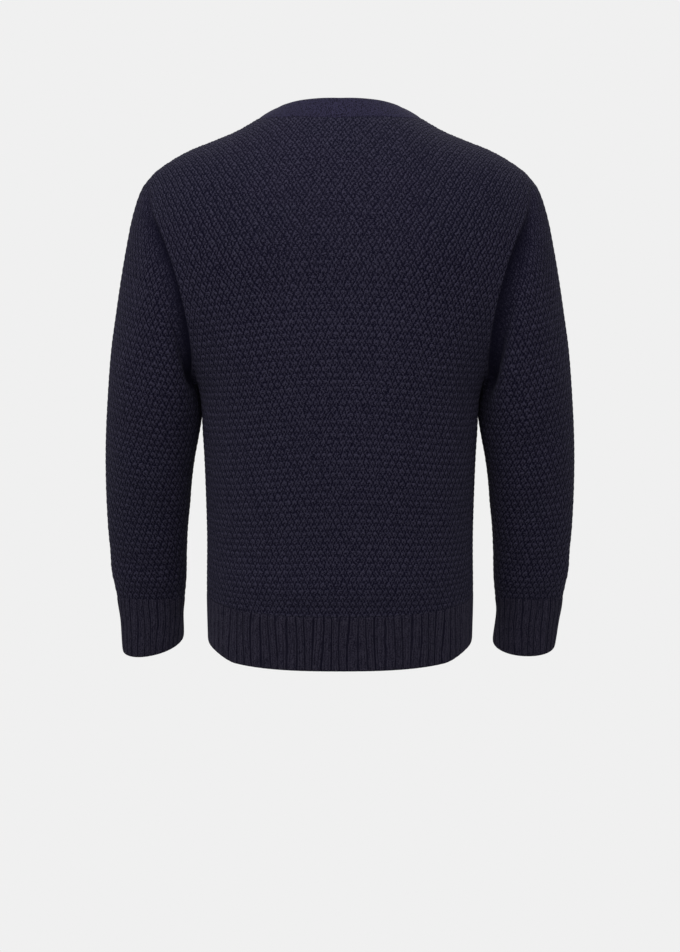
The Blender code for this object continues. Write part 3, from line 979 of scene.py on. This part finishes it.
# the armhole's uneven spacing of columns has evened out half way down
mixed = np.minimum(depth_in / (sleeve_rings / 2), 1.0)
turn = arm_turn[None, :] * (1 - mixed) + even_turn[None, :] * mixed
sleeve_points = ring_point(sleeve_table, depth_in + 0 * turn, turn)
sleeve_points += (armhole - sleeve_points[0])[None] * (1 - ease(0.0, 1.0, depth_in))[..., None]

# folds: ring, turn (a quarter is the back), reach along, reach round, how far it stands out
sleeve_folds = (
    (4.2, 3.14, 2.4, 0.50, 0.0052),
    (4.2, -3.14, 2.4, 0.50, 0.0052),
    (6.3, 1.10, 0.9, 0.50, 0.0025),
    (7.4, 1.75, 0.7, 0.60, -0.0030),
    (8.3, 1.20, 0.6, 0.55, 0.0028),
    (9.3, 1.90, 0.6, 0.50, -0.0022),
    (10.6, 1.40, 0.5, 0.90, 0.0024),
    (11.5, 1.50, 0.3, 1.60, 0.0030),
    (7.2, -1.40, 0.8, 0.70, -0.0030),
    (8.6, -1.00, 0.7, 0.60, 0.0026),
    (10.4, -1.60, 0.6, 0.90, -0.0022),
    (11.4, -1.40, 0.3, 1.40, 0.0026),
)
outward = tube_normals(sleeve_points)
push = np.zeros(turn.shape)
for ring, at_turn, along_reach, round_reach, height in sleeve_folds:
    push += height * np.exp(-((depth_in - ring) / along_reach) ** 2 - ((turn - at_turn) / round_reach) ** 2)


sleeve_pitch = 0.0081
sleeve_row = 0.0088
sleeve_grid = grid_rows * 72 + 1
sleeve_tuck_depth = tuck_depth * 0.8
# stops down the armhole between which the tuck beside it grows and then fades
tuck_grows = (0.8, 4.2)
tuck_fades = (armpit, 9.3)
# rows are level at the cuff and climb outwards at this slope under the arm
row_slope = 0.20


def sleeve_cloth(tuck_reach, tuck_drop, shade_strength):
    """The creased sleeve, drawn in beside its armhole by a tuck that ends at the armpit."""
    beside = run_along(sleeve_points, 0) / tuck_reach
    from_top = np.abs(share)[None, :]
    strength = ease(*tuck_grows, from_top) * ease(*tuck_fades, from_top)
    trough = beside * np.exp(1 - beside)
    # both ends keep to their seams
    held_ends = ease(0.0, 0.05, depth_in) * ease(sleeve_rings, sleeve_rings - 0.2, depth_in)
    moved = (push - tuck_drop * strength * trough) * held_ends
    # painted shade in the crease: the tucked cloth is painted dark almost up to the armhole seam
    hollow = shade_strength * strength * trough ** np.where(beside < 1, 0.4, 1.0)
    form = tube(sleeve_points + outward * moved[..., None], sleeve_grid, sleeve_pitch, sleeve_row, hollow)
    grid_side = np.where(np.arange(columns) >= columns // 2, 1.0, -1.0)[None, :]
    form.stitch_u, form.v = sleeve_stitch(form.points, grid_side)
    return form


def sleeve_stitch(points, side):
    """Stitches round a sleeve from its outer line and rows up from the cuff, square to its length."""
    table = np.array(sleeve_table)[::-1]
    heights = np.linspace(-0.65, 0.03, 120)
    middle_heights = (table[:, 2] + table[:, 4]) / 2
    outer = np.interp(heights, table[:, 2], table[:, 1])
    inner = np.interp(heights, table[:, 4], table[:, 3])
    deep = np.interp(heights, middle_heights, table[:, 6])
    offset = np.interp(heights, middle_heights, table[:, 5])
    reach = (outer - inner) / 2
    angle = np.linspace(0.0, math.pi, 181)
    x = reach[:, None] * swing(np.cos(angle), 2 / ring_power)
    y = deep[:, None] * swing(np.sin(angle), 2 / ring_power)
    round_it = run_along(np.stack((x, y), -1), 1) / sleeve_pitch
    at = (points[..., 2] - heights[0]) / (heights[1] - heights[0])

    def here(values):
        return np.interp(at, np.arange(len(heights)), values)

    from_middle = points[..., 0] - here((outer + inner) / 2)
    across = from_middle / here(reach)
    through = (points[..., 1] - here(offset)) * side / here(deep)
    turned = np.arctan2(swing(through, ring_power / 2), swing(across, ring_power / 2))
    turned = np.where(turned < -math.pi / 2, math.pi, turned)
    column = np.abs(turned) / math.pi * (len(angle) - 1)
    u = between_rows(round_it, at, column) * np.sign(turned) * side
    slope = row_slope * ease(-0.62, underarm, points[..., 2])
    v = (points[..., 2] - cuff_seam - slope * from_middle) / sleeve_row
    return u, v


# the right sleeve's tuck is the wider and deeper one
# side, hand, reach and drop of the tuck, how dark the painted shade in its crease is
sleeve_tucks = (("left", 1.0, 0.0066, 0.0108, 0.85), ("right", -1.0, 0.0105, 0.0125, 0.76))
for name, hand, tuck_reach, tuck_drop, shade_strength in sleeve_tucks:
    sleeve_form = sleeve_cloth(tuck_reach, tuck_drop, shade_strength)
    piece = tuck_knitted(f"sleeve_tube_{name}", f"sleeve_{name}", sleeve_form.lows, sleeve_form.highs,
                         on_side(sleeve_form.spot, hand), sleeve_tuck_depth, closed=True)

# --- hem rib ---------------------------------------------------------------------------------
# A 2x1 rib linked to the bottom of the body: ridges two stitches wide with a narrow deep channel
# between them, one strip from front edge to front edge.
rib_depth = 0.0011
rib_row = 0.0042
rib_pitch = 0.0115
# points to a repeat of the rib, and rows from an edge in which it rises
rib_fine = 12
rib_fade = 0.15
# where in half a repeat each of a ridge's two columns has its middle
rib_column = 0.31


def rib_profile(u, v):
    """A channel at every whole repeat and a shallow valley down each of the ridge's two columns."""
    away = u.to("PINGPONG", 0.5)
    rise = (away / 0.18).to("MINIMUM", 1.0).to("POWER", 0.8)
    valley = (1.0 - abs(away - rib_column) / 0.09).to("MAXIMUM", 0.0)
    return rise - (valley * 0.24 + 0.55)


rib_relief = relief_tree("rib_relief", rib_profile)


def out_of_true(u, v):
    """Ribs a little uneven in width and lean: 7 short waves and 2 long ones to every 25 ribs."""
    round_25 = 2 * math.pi * u / 25
    return u + 0.13 * np.sin(7 * round_25 + 0.11 * v) + 0.11 * np.sin(2 * round_25 - 0.15 * v + 2.0)


def rib_stitch(p):
    """Two columns of small V stitches to a ridge, painted shade of uneven depth in the channels and down
    each column's valley, and faint streaks along.
    """
    u, v = p.stitches(0.14, 0.30)
    away = u.to("PINGPONG", 0.5)
    leg = abs(away - rib_column)
    stitch = ((leg * -4.0 + v) * (2 * math.pi)).to("COSINE") * 0.12 + 0.88
    # painted shade down the middle of each column, where its valley lies
    valley = p.ramp(leg, 0.0, 0.10, 0.42, 1.0)
    # painted shade in the channels, deeper in some than in others
    wires = {"W": (u + 0.5).to("FLOOR")}
    chance = p.read("Value", "ShaderNodeTexWhiteNoise", wires, noise_dimensions="1D")
    floor_tone = (chance * 0.18 + p.noise(55.0) * 0.16).to("MINIMUM", 0.9)
    channel = p.ramp(away, 0.04, 0.16).to("MAXIMUM", floor_tone)
    streak = p.noise(1.0, 2.0, 0.6, "Fac", p.joined(u * 5.0, v * 0.28))
    crest = stitch * valley * channel
    # beside the side seams the ridges partly run together in one middle tone
    sideways = abs(p.split(p.place)[0])
    plain = p.ramp(sideways, 0.140, 0.168) * p.ramp(sideways, 0.205, 0.190, 0.0, 0.55)
    crest = crest * (1.0 - plain) + plain * 0.72
    return crest * p.ramp(streak, 0.28, 0.72, 0.48, 1.52)


# the dark colour is the painted shade of the channels and valleys, the light one the yarn on the ridges
rib_dark = (0.0012, 0.0010, 0.0050)
rib_light = (0.0186, 0.0167, 0.0270)
navy_rib = yarn_paint("navy_rib_knit", rib_stitch, rib_dark, rib_light, 8.0, 0.0009)


def rib_knitted(name, node, form, spot, depth, closed=False):
    """A ribbed piece, from its cloth to its fastening on the plain node."""
    form.stitch_u = out_of_true(form.u, form.v)
    piece = knitted_wall(name, form.lows, form.highs, spot, rib_fine, grid_rows, closed, wall, rib_fade)
    knit(piece, rib_relief, depth, navy_rib)
    tailor(piece, node)
    return piece


flip = np.array((-1.0, 1.0, 1.0))


def both_halves(left):
    """The left half of a piece and its mirror image, from one end over the middle to the other."""
    return np.concatenate((left, left[..., -2::-1, :] * flip), -2)


hem_lines = 25
hem_columns = 400
# how far the lower edge rises towards the side seams, and between which distances
edge_rise = 0.008
edge_rises = (0.135, 0.174)
hem_levels = np.linspace(hem_seam, hem_edge, hem_lines)[:, None]
hem_end = side_x(hem_levels)
start = np.arcsin((edge_half / hem_end) ** spread)
share = np.linspace(0.0, 1.0, hem_columns)[None, :]
front_half = hem_end * np.sin(start + (math.pi / 2 - start) * share) ** (1 / spread)
back_half = hem_end * np.sin(math.pi / 2 * (1 - share[:, 1:])) ** (1 / spread)
left_points, left_normals = (
    np.concatenate((skin(front_half, hem_levels, -1), skin(back_half, hem_levels, 1)), 1)
    for skin in (torso_point, torso_normal)
)
risen = ease(hem_seam, hem_edge, left_points[..., 2]) * ease(*edge_rises, left_points[..., 0])
left_points[..., 2] += edge_rise * risen
hem_v = (hem_levels - hem_edge) / rib_row + np.zeros(2 * left_points.shape[1] - 1)
hem_form = Cloth(both_halves(left_points), both_halves(left_normals), hem_v,
                 left_points.shape[1] - 1, rib_pitch)
hem = rib_knitted("hem_ribbing", "hem_rib", hem_form, hem_form.spot, rib_depth)

# --- cuffs -----------------------------------------------------------------------------------
# The same 2x1 rib, finer, knitted on to the bottom of each sleeve and closed with it.
# ring, outer x, outer height, inner x, inner height, middle y, half depth, drop of the back
cuff_table = (
    (0, *sleeve_table[-1][1:]),
    (1, 0.3005, -0.664, 0.2125, -0.657, -0.045, 0.0330, -0.002),
)
# the left cuff hangs lower on its outer side, the right one level and a little further in
cuff_ends = (
    ("left", 1.0, (2, 0.2985, -0.714, 0.2145, -0.697, -0.052, 0.0385, 0.007)),
    ("right", -1.0, (2, 0.2950, -0.707, 0.2100, -0.705, -0.052, 0.0385, 0.007)),
)
cuff_pitch = 0.0089
cuff_grid = grid_rows * 6 + 1
cuff_rib_depth = rib_depth * 0.85
cuff_rings = 2.0
cuff_lines = 60
cuff_depth = np.linspace(0.0, cuff_rings, cuff_lines)[:, None] + np.zeros(columns)
# the rib draws in most a little below its middle
drawn_in = 0.022 * np.exp(-((cuff_depth[:, :1] - 1.2) / 0.45) ** 2)[..., None]
for name, hand, cuff_end in cuff_ends:
    cuff_points = ring_point(cuff_table + (cuff_end,), cuff_depth, even_turn + 0 * cuff_depth)
    cuff_points -= (cuff_points - cuff_points.mean(axis=1, keepdims=True)) * drawn_in
    cuff_form = tube(cuff_points, cuff_grid, cuff_pitch, rib_row, np.zeros(cuff_depth.shape))
    piece = rib_knitted(f"cuff_ribbing_{name}", f"cuff_{name}", cuff_form,
                        on_side(cuff_form.spot, hand), cuff_rib_depth, closed=True)

# --- front band ------------------------------------------------------------------------------
# One smooth fine-knit strip linked to both front edges and round the neck; the left front laps
# over the right.  It stands up at the back of the neck.
band_wall = 0.0026
band_tilt = 0.0034
band_pitch = 0.0050
band_row = 0.0022
band_step = 0.001
# how much wider it is at the back of the neck, and how much of it is tucked under its seam
band_rise = 0.0056
tucked = 0.0009
# how full it is across its width, how much less beside its seam, and points across it
band_swell = 0.0009
seam_dip = 0.0003
band_lines = 13
# reaches within which the seam's line, outward directions and way along are evened
line_reach = 0.003
normal_reach = 0.012
way_reach = 0.010


def band_half():
    """Points and outward directions of the left half of the seam, from the hem to the back neck."""
    below = np.linspace(hem_edge, full_chest, 500)
    above = np.linspace(full_chest, top_level, 400)[1:]
    front_levels = np.concatenate((below, above))
    front = np.where(front_levels < hem_seam, edge_half, front_x(front_levels))
    back = neck_half * (1 - np.linspace(0.0, 1.0, 300)[1:] ** 1.3)
    back_levels = neck_level(back, np.full(back.shape, top_level))
    points = []
    normals = []
    # at the very top the skin is level, so its direction is read a little lower
    for x, levels, side in ((front, front_levels, -1), (back, back_levels, 1)):
        points.append(torso_point(x, levels, side))
        normals.append(torso_normal(x, np.minimum(levels, top_level - 0.004), side))
    return np.concatenate(points), np.concatenate(normals)


def evened(values, run, reach):
    """Values along a line at even steps, each the mean of those within reach of it."""
    even = np.arange(0.0, run[-1], band_step)
    out = np.stack([np.interp(even, run, values[:, k]) for k in range(3)], -1)
    reach_steps = round(reach / band_step)
    padded = np.concatenate((out[:1].repeat(reach_steps, 0), out, out[-1:].repeat(reach_steps, 0)))
    total = np.cumsum(np.concatenate((np.zeros((1, 3)), padded)), 0)
    width = 2 * reach_steps + 1
    return (total[width:] - total[:-width]) / width


half_points, half_normals = band_half()
line = both_halves(half_points)
run = run_along(line, 0)
seam = evened(line, run, line_reach)
seam[0] = line[0]
seam[-1] = line[-1]
seam_normal = unit(evened(both_halves(half_normals), run, normal_reach))
seam_way = unit(np.gradient(evened(line, run, way_reach), axis=0))
seam_normal = unit(seam_normal - seam_way * (seam_normal * seam_way).sum(-1, keepdims=True))
inward = np.cross(seam_normal, seam_way)
# the left front rides over the right one within 30 mm of the middle, and no more past 50 mm
lapped = np.clip((0.050 - np.abs(seam[:, 0])) / 0.020, 0.0, 1.0) * (seam[:, 1] < 0)
lift = band_tilt * lapped * np.sign(seam[:, 0])
band_share = np.linspace(0.0, 1.0, band_lines)[:, None]
behind = inside_neck(seam[:, 0]) * (seam[:, 1] > 0)
over = (band_width + tucked + band_rise * behind) * band_share - tucked
swollen = band_swell * np.sin(math.pi * band_share) ** 0.7 - seam_dip * np.exp(-band_share / 0.05)
band_points = seam + inward * over[..., None] + seam_normal * (lift * band_share + swollen)[..., None]
band_v = (1 - band_share) * band_width / band_row + np.zeros(band_points.shape[:2])
band_normals = np.broadcast_to(seam_normal, band_points.shape)
band_form = Cloth(band_points, band_normals, band_v, len(seam) // 2, band_pitch)
band = knitted_wall("band", band_form.lows, band_form.highs, band_form.spot, 2, 2, False, band_wall, 0.5)


def fine_stitch(p):
    """Fine smooth knitting: small even V stitches in columns across the strip."""
    u, v = p.stitches(0.03, 0.03)
    leg = (u * 2.2).to("PINGPONG", 0.5)
    stitch = ((leg * -1.2 + v) * (2 * math.pi)).to("COSINE") * 0.10 + 0.82
    dash = p.ramp((u * 0.8).to("PINGPONG", 0.5), 0.10, 0.32)
    return stitch - dash * p.ramp(v, 9.9, 10.7, 0.0, 0.45)


fine_dark = (0.0026, 0.0021, 0.0052)
fine_light = (0.0156, 0.0140, 0.0304)
navy_fine = yarn_paint("navy_fine_knit", fine_stitch, fine_dark, fine_light, 9.0, 0.0003)
plain_relief = relief_tree("plain_relief", lambda u, v: v * 0.0)
knit(band, plain_relief, 0.0, navy_fine)
tailor(band, "front_band")

# --- buttons ---------------------------------------------------------------------------------
# Five dark horn buttons with a rolled rim, a dished middle and four holes, sewn to the left lap
# of the band with navy thread.
button_top = -0.262
button_pitch = 0.0965
button_count = 5
hole_place = 0.0021
hole_radius = 0.0010
lip = 0.0002
button_lift = 0.0012
# two strands of thread lie side by side from hole to hole, and go down into the holes
strand_radius = 0.00033
strand_gap = 0.00035
strand_dip = 0.0016
strand_rise = 0.00012
strand_steps = 12
# sides of the rings that rim, holes and thread are made of
rim_sides = 64
hole_sides = 20
strand_sides = 8
# radius, height above the seat
button_rings = (
    (0.0084, 0.0000),
    (0.0091, 0.0003),
    (0.0095, 0.0009),
    (0.0095, 0.0021),
    (0.0092, 0.0027),
    (0.0086, 0.0030),
    (0.0079, 0.0030),
    (0.0073, 0.0027),
    (0.0066, 0.0021),
    (0.0058, 0.0019),
)


def button_mesh():
    """One button lying on its seat, sewn through its holes, with its thread marked as strand."""
    work = bmesh.new()

    def loop(x, y, radius, height, count):
        turns = [2 * math.pi * k / count for k in range(count)]
        return [work.verts.new((x + radius * math.cos(t), y + radius * math.sin(t), height)) for t in turns]

    def skirt(first, second):
        for k in range(len(first)):
            n = (k + 1) % len(first)
            work.faces.new((first[k], first[n], second[n], second[k])).smooth = True

    loops = [loop(0, 0, radius, height, rim_sides) for radius, height in button_rings]
    for first, second in zip(loops, loops[1:]):
        skirt(first, second)
    floors = ((loops[0], []), (loops[-1], []))
    top = button_rings[-1][1]
    for x, y in ((1, 1), (1, -1), (-1, -1), (-1, 1)):
        sides = ((hole_radius, 0.0), (hole_radius, top - lip), (hole_radius + lip, top))
        low, high, rim = (loop(x * hole_place, y * hole_place, *size, hole_sides) for size in sides)
        skirt(low, high)
        skirt(high, rim)
        floors[0][1].append(low)
        floors[1][1].append(rim)
    for edge, holes in floors:
        edges = []
        for ring in [edge] + holes:
            for k in range(len(ring)):
                pair = (ring[k], ring[(k + 1) % len(ring)])
                edges.append(work.edges.get(pair) or work.edges.new(pair))
        bmesh.ops.triangle_fill(work, use_beauty=True, edges=edges)
    bmesh.ops.recalc_face_normals(work, faces=work.faces)
    horn_faces = len(work.faces)
    for y in (middle + shift for middle in (hole_place, -hole_place) for shift in (-strand_gap, strand_gap)):
        path = []
        for k in range(strand_steps + 1):
            t = k / strand_steps
            bow = math.sin(math.pi * t) ** 0.5
            path.append(((2 * t - 1) * hole_place, y, top - strand_dip * (1 - bow) + strand_rise * bow))
        rings = []
        for k, place in enumerate(path):
            way = Vector(path[min(k + 1, strand_steps)]) - Vector(path[max(k - 1, 0)])
            aside = Vector((0.0, 1.0, 0.0))
            up = aside.cross(way.normalized())
            ring = []
            for m in range(strand_sides):
                angle = 2 * math.pi * m / strand_sides
                round_it = math.cos(angle) * aside + math.sin(angle) * up
                ring.append(work.verts.new(Vector(place) + strand_radius * round_it))
            rings.append(ring)
        for first, second in zip(rings, rings[1:]):
            skirt(first, second)
        work.faces.new(rings[0][::-1])
        work.faces.new(rings[-1])
    work.faces.ensure_lookup_table()
    bmesh.ops.recalc_face_normals(work, faces=work.faces[horn_faces:])
    mesh = bpy.data.meshes.new("one_button")
    work.to_mesh(mesh)
    strand = mesh.attributes.new("strand", "BOOLEAN", "FACE")
    strand.data.foreach_set("value", [face.index >= horn_faces for face in mesh.polygons])
    work.free()
    return mesh


def horn_paint():
    """Dark clouded horn with lighter veins and a dull shine."""
    p = Paint("dark_horn")
    vein = p.noise(520.0, 4.0, 0.7)
    cloud = p.ramp(p.noise(160.0, 3.0, 0.6), 0.35, 0.7)
    base = p.mix(cloud, (0.008, 0.0075, 0.011, 1.0), (0.030, 0.026, 0.030, 1.0))
    return p.coat({
        "Base Color": p.mix(p.ramp(vein, 0.62, 0.78, 0.0, 0.35), base, (0.075, 0.060, 0.052, 1.0)),
        "Roughness": p.ramp(vein, 0.3, 0.8, 0.30, 0.46),
        "Normal": p.bump(vein, 0.00004, 0.5),
        "Specular IOR Level": 0.38,
    })


def thread_paint():
    """Navy thread with its twist."""
    p = Paint("navy_thread")
    wires = {"Vector": p.place, "Scale": 900.0, "Distortion": 1.0}
    ply = p.read("Fac", "ShaderNodeTexWave", wires, wave_type="BANDS", bands_direction="DIAGONAL")
    return p.coat({
        "Base Color": p.mix(ply, (0.010, 0.0095, 0.018, 1.0), (0.034, 0.032, 0.058, 1.0)),
        "Normal": p.bump(ply, 0.00008, 0.8),
        "Roughness": 0.8,
    })


def button_seats():
    """One point for each button, with its turn as an Euler angle."""
    points = []
    turns = []
    for number in range(button_count):
        height = button_top - button_pitch * number
        low = torso_point(edge_half, height - 0.01, -1)
        high = torso_point(edge_half, height + 0.01, -1)
        way = unit(high - low)
        normal = torso_normal(edge_half, height, -1)
        normal = unit(normal - way * np.dot(normal, way))
        side = np.cross(normal, way)
        slope = unit(side + normal * band_tilt / band_width)
        axis = np.cross(slope, way)
        axis = axis * np.sign(np.dot(axis, normal))
        points.append((low + high) / 2 + side * band_width / 2 + normal * band_tilt / 2 + axis * button_lift)
        turns.append(Matrix(np.stack((np.cross(way, axis), way, axis), -1).tolist()).to_euler())
    mesh = bpy.data.meshes.new("button_seats")
    mesh.from_pydata([tuple(p) for p in points], [], [])
    mark(mesh, "facing", "FLOAT_VECTOR", "vector", [tuple(turn) for turn in turns])
    return mesh


def sewn_on_tree():
    """A node tree that sets one copy of a button at every point and colours button and thread."""
    inputs = (("Button", "Object"), ("Horn", "Material"), ("Thread", "Material"))
    bench, given = new_tree("sewn_on", inputs)
    button = bench.read("Geometry", "GeometryNodeObjectInfo", {"Object": given["Button"]})
    turn = bench.read(0, "FunctionNodeEulerToRotation", {"Euler": bench.attribute("facing")})
    wires = {"Points": given["Geometry"], "Instance": button, "Rotation": turn}
    copies = bench.read(0, "GeometryNodeInstanceOnPoints", wires)
    real = bench.read(0, "GeometryNodeRealizeInstances", {"Geometry": copies})
    horn = bench.painted(real, given["Horn"])
    sewn = bench.painted(horn, given["Thread"], bench.attribute("strand", "BOOLEAN"))
    bench.node("NodeGroupOutput", {"Geometry": sewn})
    return bench.tree


pattern = bpy.data.objects.new("one_button", button_mesh())
buttons = bpy.data.objects.new("buttons", button_seats())
bpy.context.scene.collection.objects.link(buttons)
worked(buttons, sewn_on_tree(), {"Button": pattern, "Horn": horn_paint(), "Thread": thread_paint()})
bpy.data.objects.remove(pattern)
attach(buttons, "root")
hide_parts(*[f"button_{number + 1}" for number in range(button_count)])
